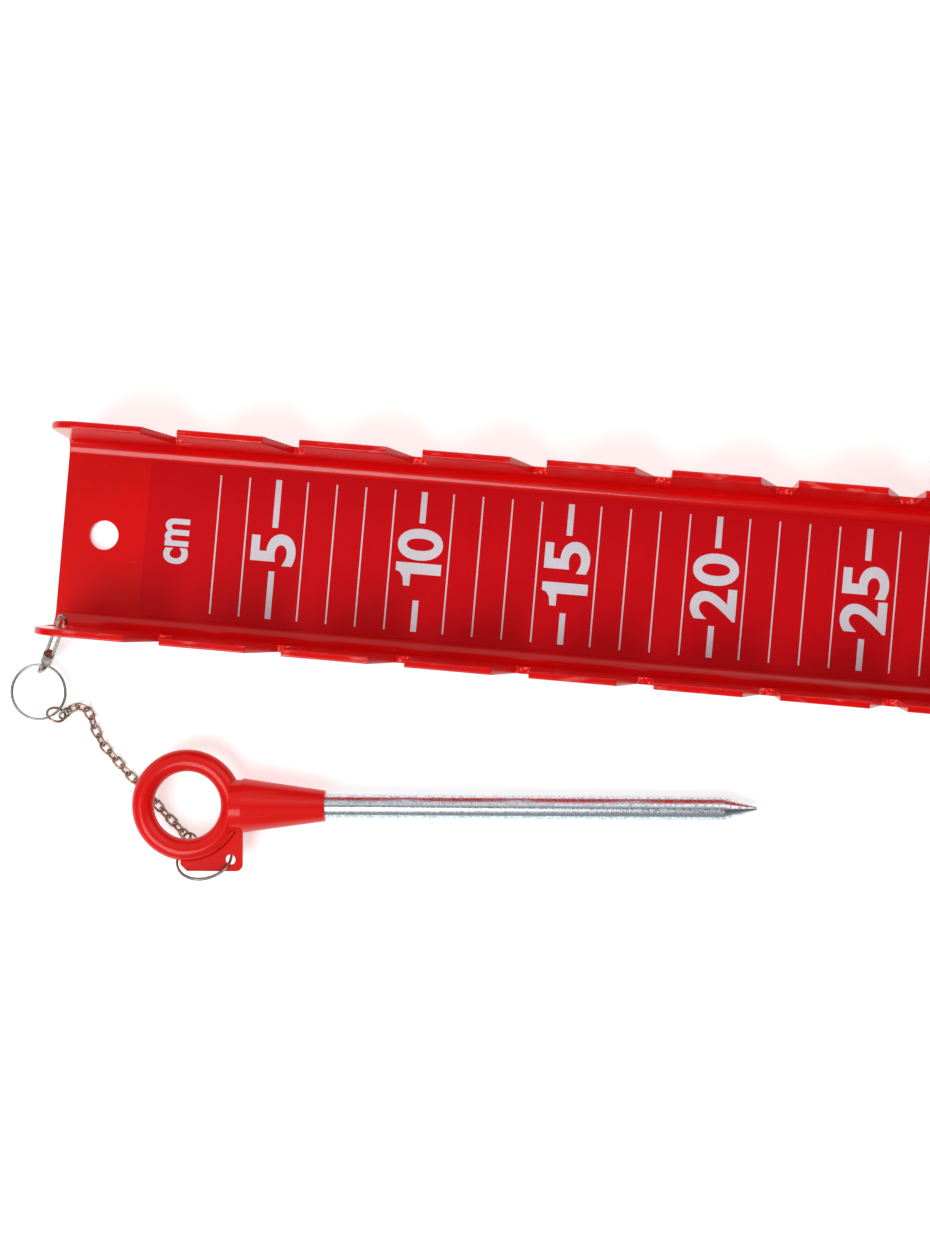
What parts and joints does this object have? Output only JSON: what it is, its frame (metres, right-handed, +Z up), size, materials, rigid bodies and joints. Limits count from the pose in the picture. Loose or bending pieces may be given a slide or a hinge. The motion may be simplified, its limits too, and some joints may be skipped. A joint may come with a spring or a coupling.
{
  "type": "starting blocks",
  "caption": "Sprint starting blocks: a notched steel channel rail, two tilting rubber-faced foot pedals that drop into its notches, and a ground spike tethered to each end.",
  "frame": {"origin": "middle of the rail's underside, on the ground", "axes": "+X along the rail from the front (start line) end to the rear end, +Y to the left pedal's side, +Z up"},
  "size_m": [0.786, 0.3336, 0.1801],
  "materials": {
    "red_coat": "gloss red powder coat",
    "label_vinyl": "gloss printed vinyl, darker red",
    "zinc_steel": "bright zinc plate",
    "nickel": "polished nickel plate",
    "chain_nickel": "dull brownish nickel plate",
    "black_rubber": "matt ribbed rubber",
    "black_plastic": "matt moulded plastic"
  },
  "bodies": {
    "base": {"rail_channel": "red_coat", "scale_label": "label_vinyl"},
    "left_block": {"left_saddle": "red_coat", "left_front_locking_bar": "zinc_steel", "left_rear_locking_bar": "zinc_steel", "left_rubber_foot": "black_rubber", "left_inner_bracket": "red_coat", "left_outer_bracket": "red_coat", "left_hinge_rod": "zinc_steel", "left_hinge_caps": "zinc_steel", "left_clamp_bolt": "zinc_steel", "left_clamp_washer": "zinc_steel"},
    "left_pedal": {"left_foot_plate": "red_coat", "left_rubber_pad": "black_rubber", "left_pad_rivets": "zinc_steel"},
    "left_knob": {"left_clamp_knob": "black_plastic"},
    "right_block": {"right_saddle": "red_coat", "right_front_locking_bar": "zinc_steel", "right_rear_locking_bar": "zinc_steel", "right_rubber_foot": "black_rubber", "right_inner_bracket": "red_coat", "right_outer_bracket": "red_coat", "right_hinge_rod": "zinc_steel", "right_hinge_caps": "zinc_steel", "right_clamp_bolt": "zinc_steel", "right_clamp_washer": "zinc_steel"},
    "right_pedal": {"right_foot_plate": "red_coat", "right_rubber_pad": "black_rubber", "right_pad_rivets": "zinc_steel"},
    "right_knob": {"right_clamp_knob": "black_plastic"},
    "front_hook": {"front_snap_hook": "nickel"},
    "front_ring": {"front_hook_split_ring": "nickel"},
    "front_tether": {"front_chain": "chain_nickel", "front_tab_split_ring": "nickel"},
    "front_spike": {"front_spike_head": "red_coat", "front_spike_rod": "zinc_steel", "front_spike_tab": "red_coat"},
    "rear_hook": {"rear_snap_hook": "nickel"},
    "rear_ring": {"rear_hook_split_ring": "nickel"},
    "rear_tether": {"rear_chain": "chain_nickel", "rear_tab_split_ring": "nickel"},
    "rear_spike": {"rear_spike_head": "red_coat", "rear_spike_rod": "zinc_steel", "rear_spike_tab": "red_coat"}
  },
  "joints": [
    {"name": "left_block_lift", "type": "slide", "parent": "base", "child": "left_block", "axis": [0, 0, 1], "range_m": [0, 0.045]},
    {"name": "left_pedal_tilt", "type": "hinge", "parent": "left_block", "child": "left_pedal", "pos_m": [-0.029, 0.096, 0.062], "axis": [0, -1, 0], "range_deg": [0, 32]},
    {"name": "left_knob_turn", "type": "hinge", "parent": "left_block", "child": "left_knob", "pos_m": [0.02469, 0.158, 0.093], "axis": [0, 1, 0], "range_deg": [0, 360]},
    {"name": "right_block_lift", "type": "slide", "parent": "base", "child": "right_block", "axis": [0, 0, 1], "range_m": [0, 0.045]},
    {"name": "right_pedal_tilt", "type": "hinge", "parent": "right_block", "child": "right_pedal", "pos_m": [0.171, -0.096, 0.062], "axis": [0, -1, 0], "range_deg": [0, 32]},
    {"name": "right_knob_turn", "type": "hinge", "parent": "right_block", "child": "right_knob", "pos_m": [0.22469, -0.158, 0.093], "axis": [0, -1, 0], "range_deg": [0, 360]},
    {"name": "front_hook_swing", "type": "hinge", "parent": "base", "child": "front_hook", "pos_m": [-0.3736, -0.03323, 0.0194], "axis": [0, 0, 1], "range_deg": [-3, 3]},
    {"name": "front_ring_swing", "type": "hinge", "parent": "front_hook", "child": "front_ring", "pos_m": [-0.3833, -0.05554, 0.0024], "axis": [0, 0, 1], "range_deg": [-20, 2]},
    {"name": "front_chain_swing", "type": "hinge", "parent": "front_ring", "child": "front_tether", "pos_m": [-0.37674, -0.06221, 0.0024], "axis": [0, 0, 1], "range_deg": [-10, 2]},
    {"name": "front_spike_swing", "type": "hinge", "parent": "front_tether", "child": "front_spike", "pos_m": [-0.31074, -0.10566, 0.00931], "axis": [0, 0, 1], "range_deg": [-15, 0]},
    {"name": "rear_hook_swing", "type": "hinge", "parent": "base", "child": "rear_hook", "pos_m": [0.3736, 0.03323, 0.0194], "axis": [0, 0, 1], "range_deg": [-3, 3]},
    {"name": "rear_ring_swing", "type": "hinge", "parent": "rear_hook", "child": "rear_ring", "pos_m": [0.3833, 0.05554, 0.0024], "axis": [0, 0, 1], "range_deg": [-20, 2]},
    {"name": "rear_chain_swing", "type": "hinge", "parent": "rear_ring", "child": "rear_tether", "pos_m": [0.37674, 0.06221, 0.0024], "axis": [0, 0, 1], "range_deg": [-10, 2]},
    {"name": "rear_spike_swing", "type": "hinge", "parent": "rear_tether", "child": "rear_spike", "pos_m": [0.31074, 0.10566, 0.00931], "axis": [0, 0, 1], "range_deg": [-15, 0]}
  ]
}
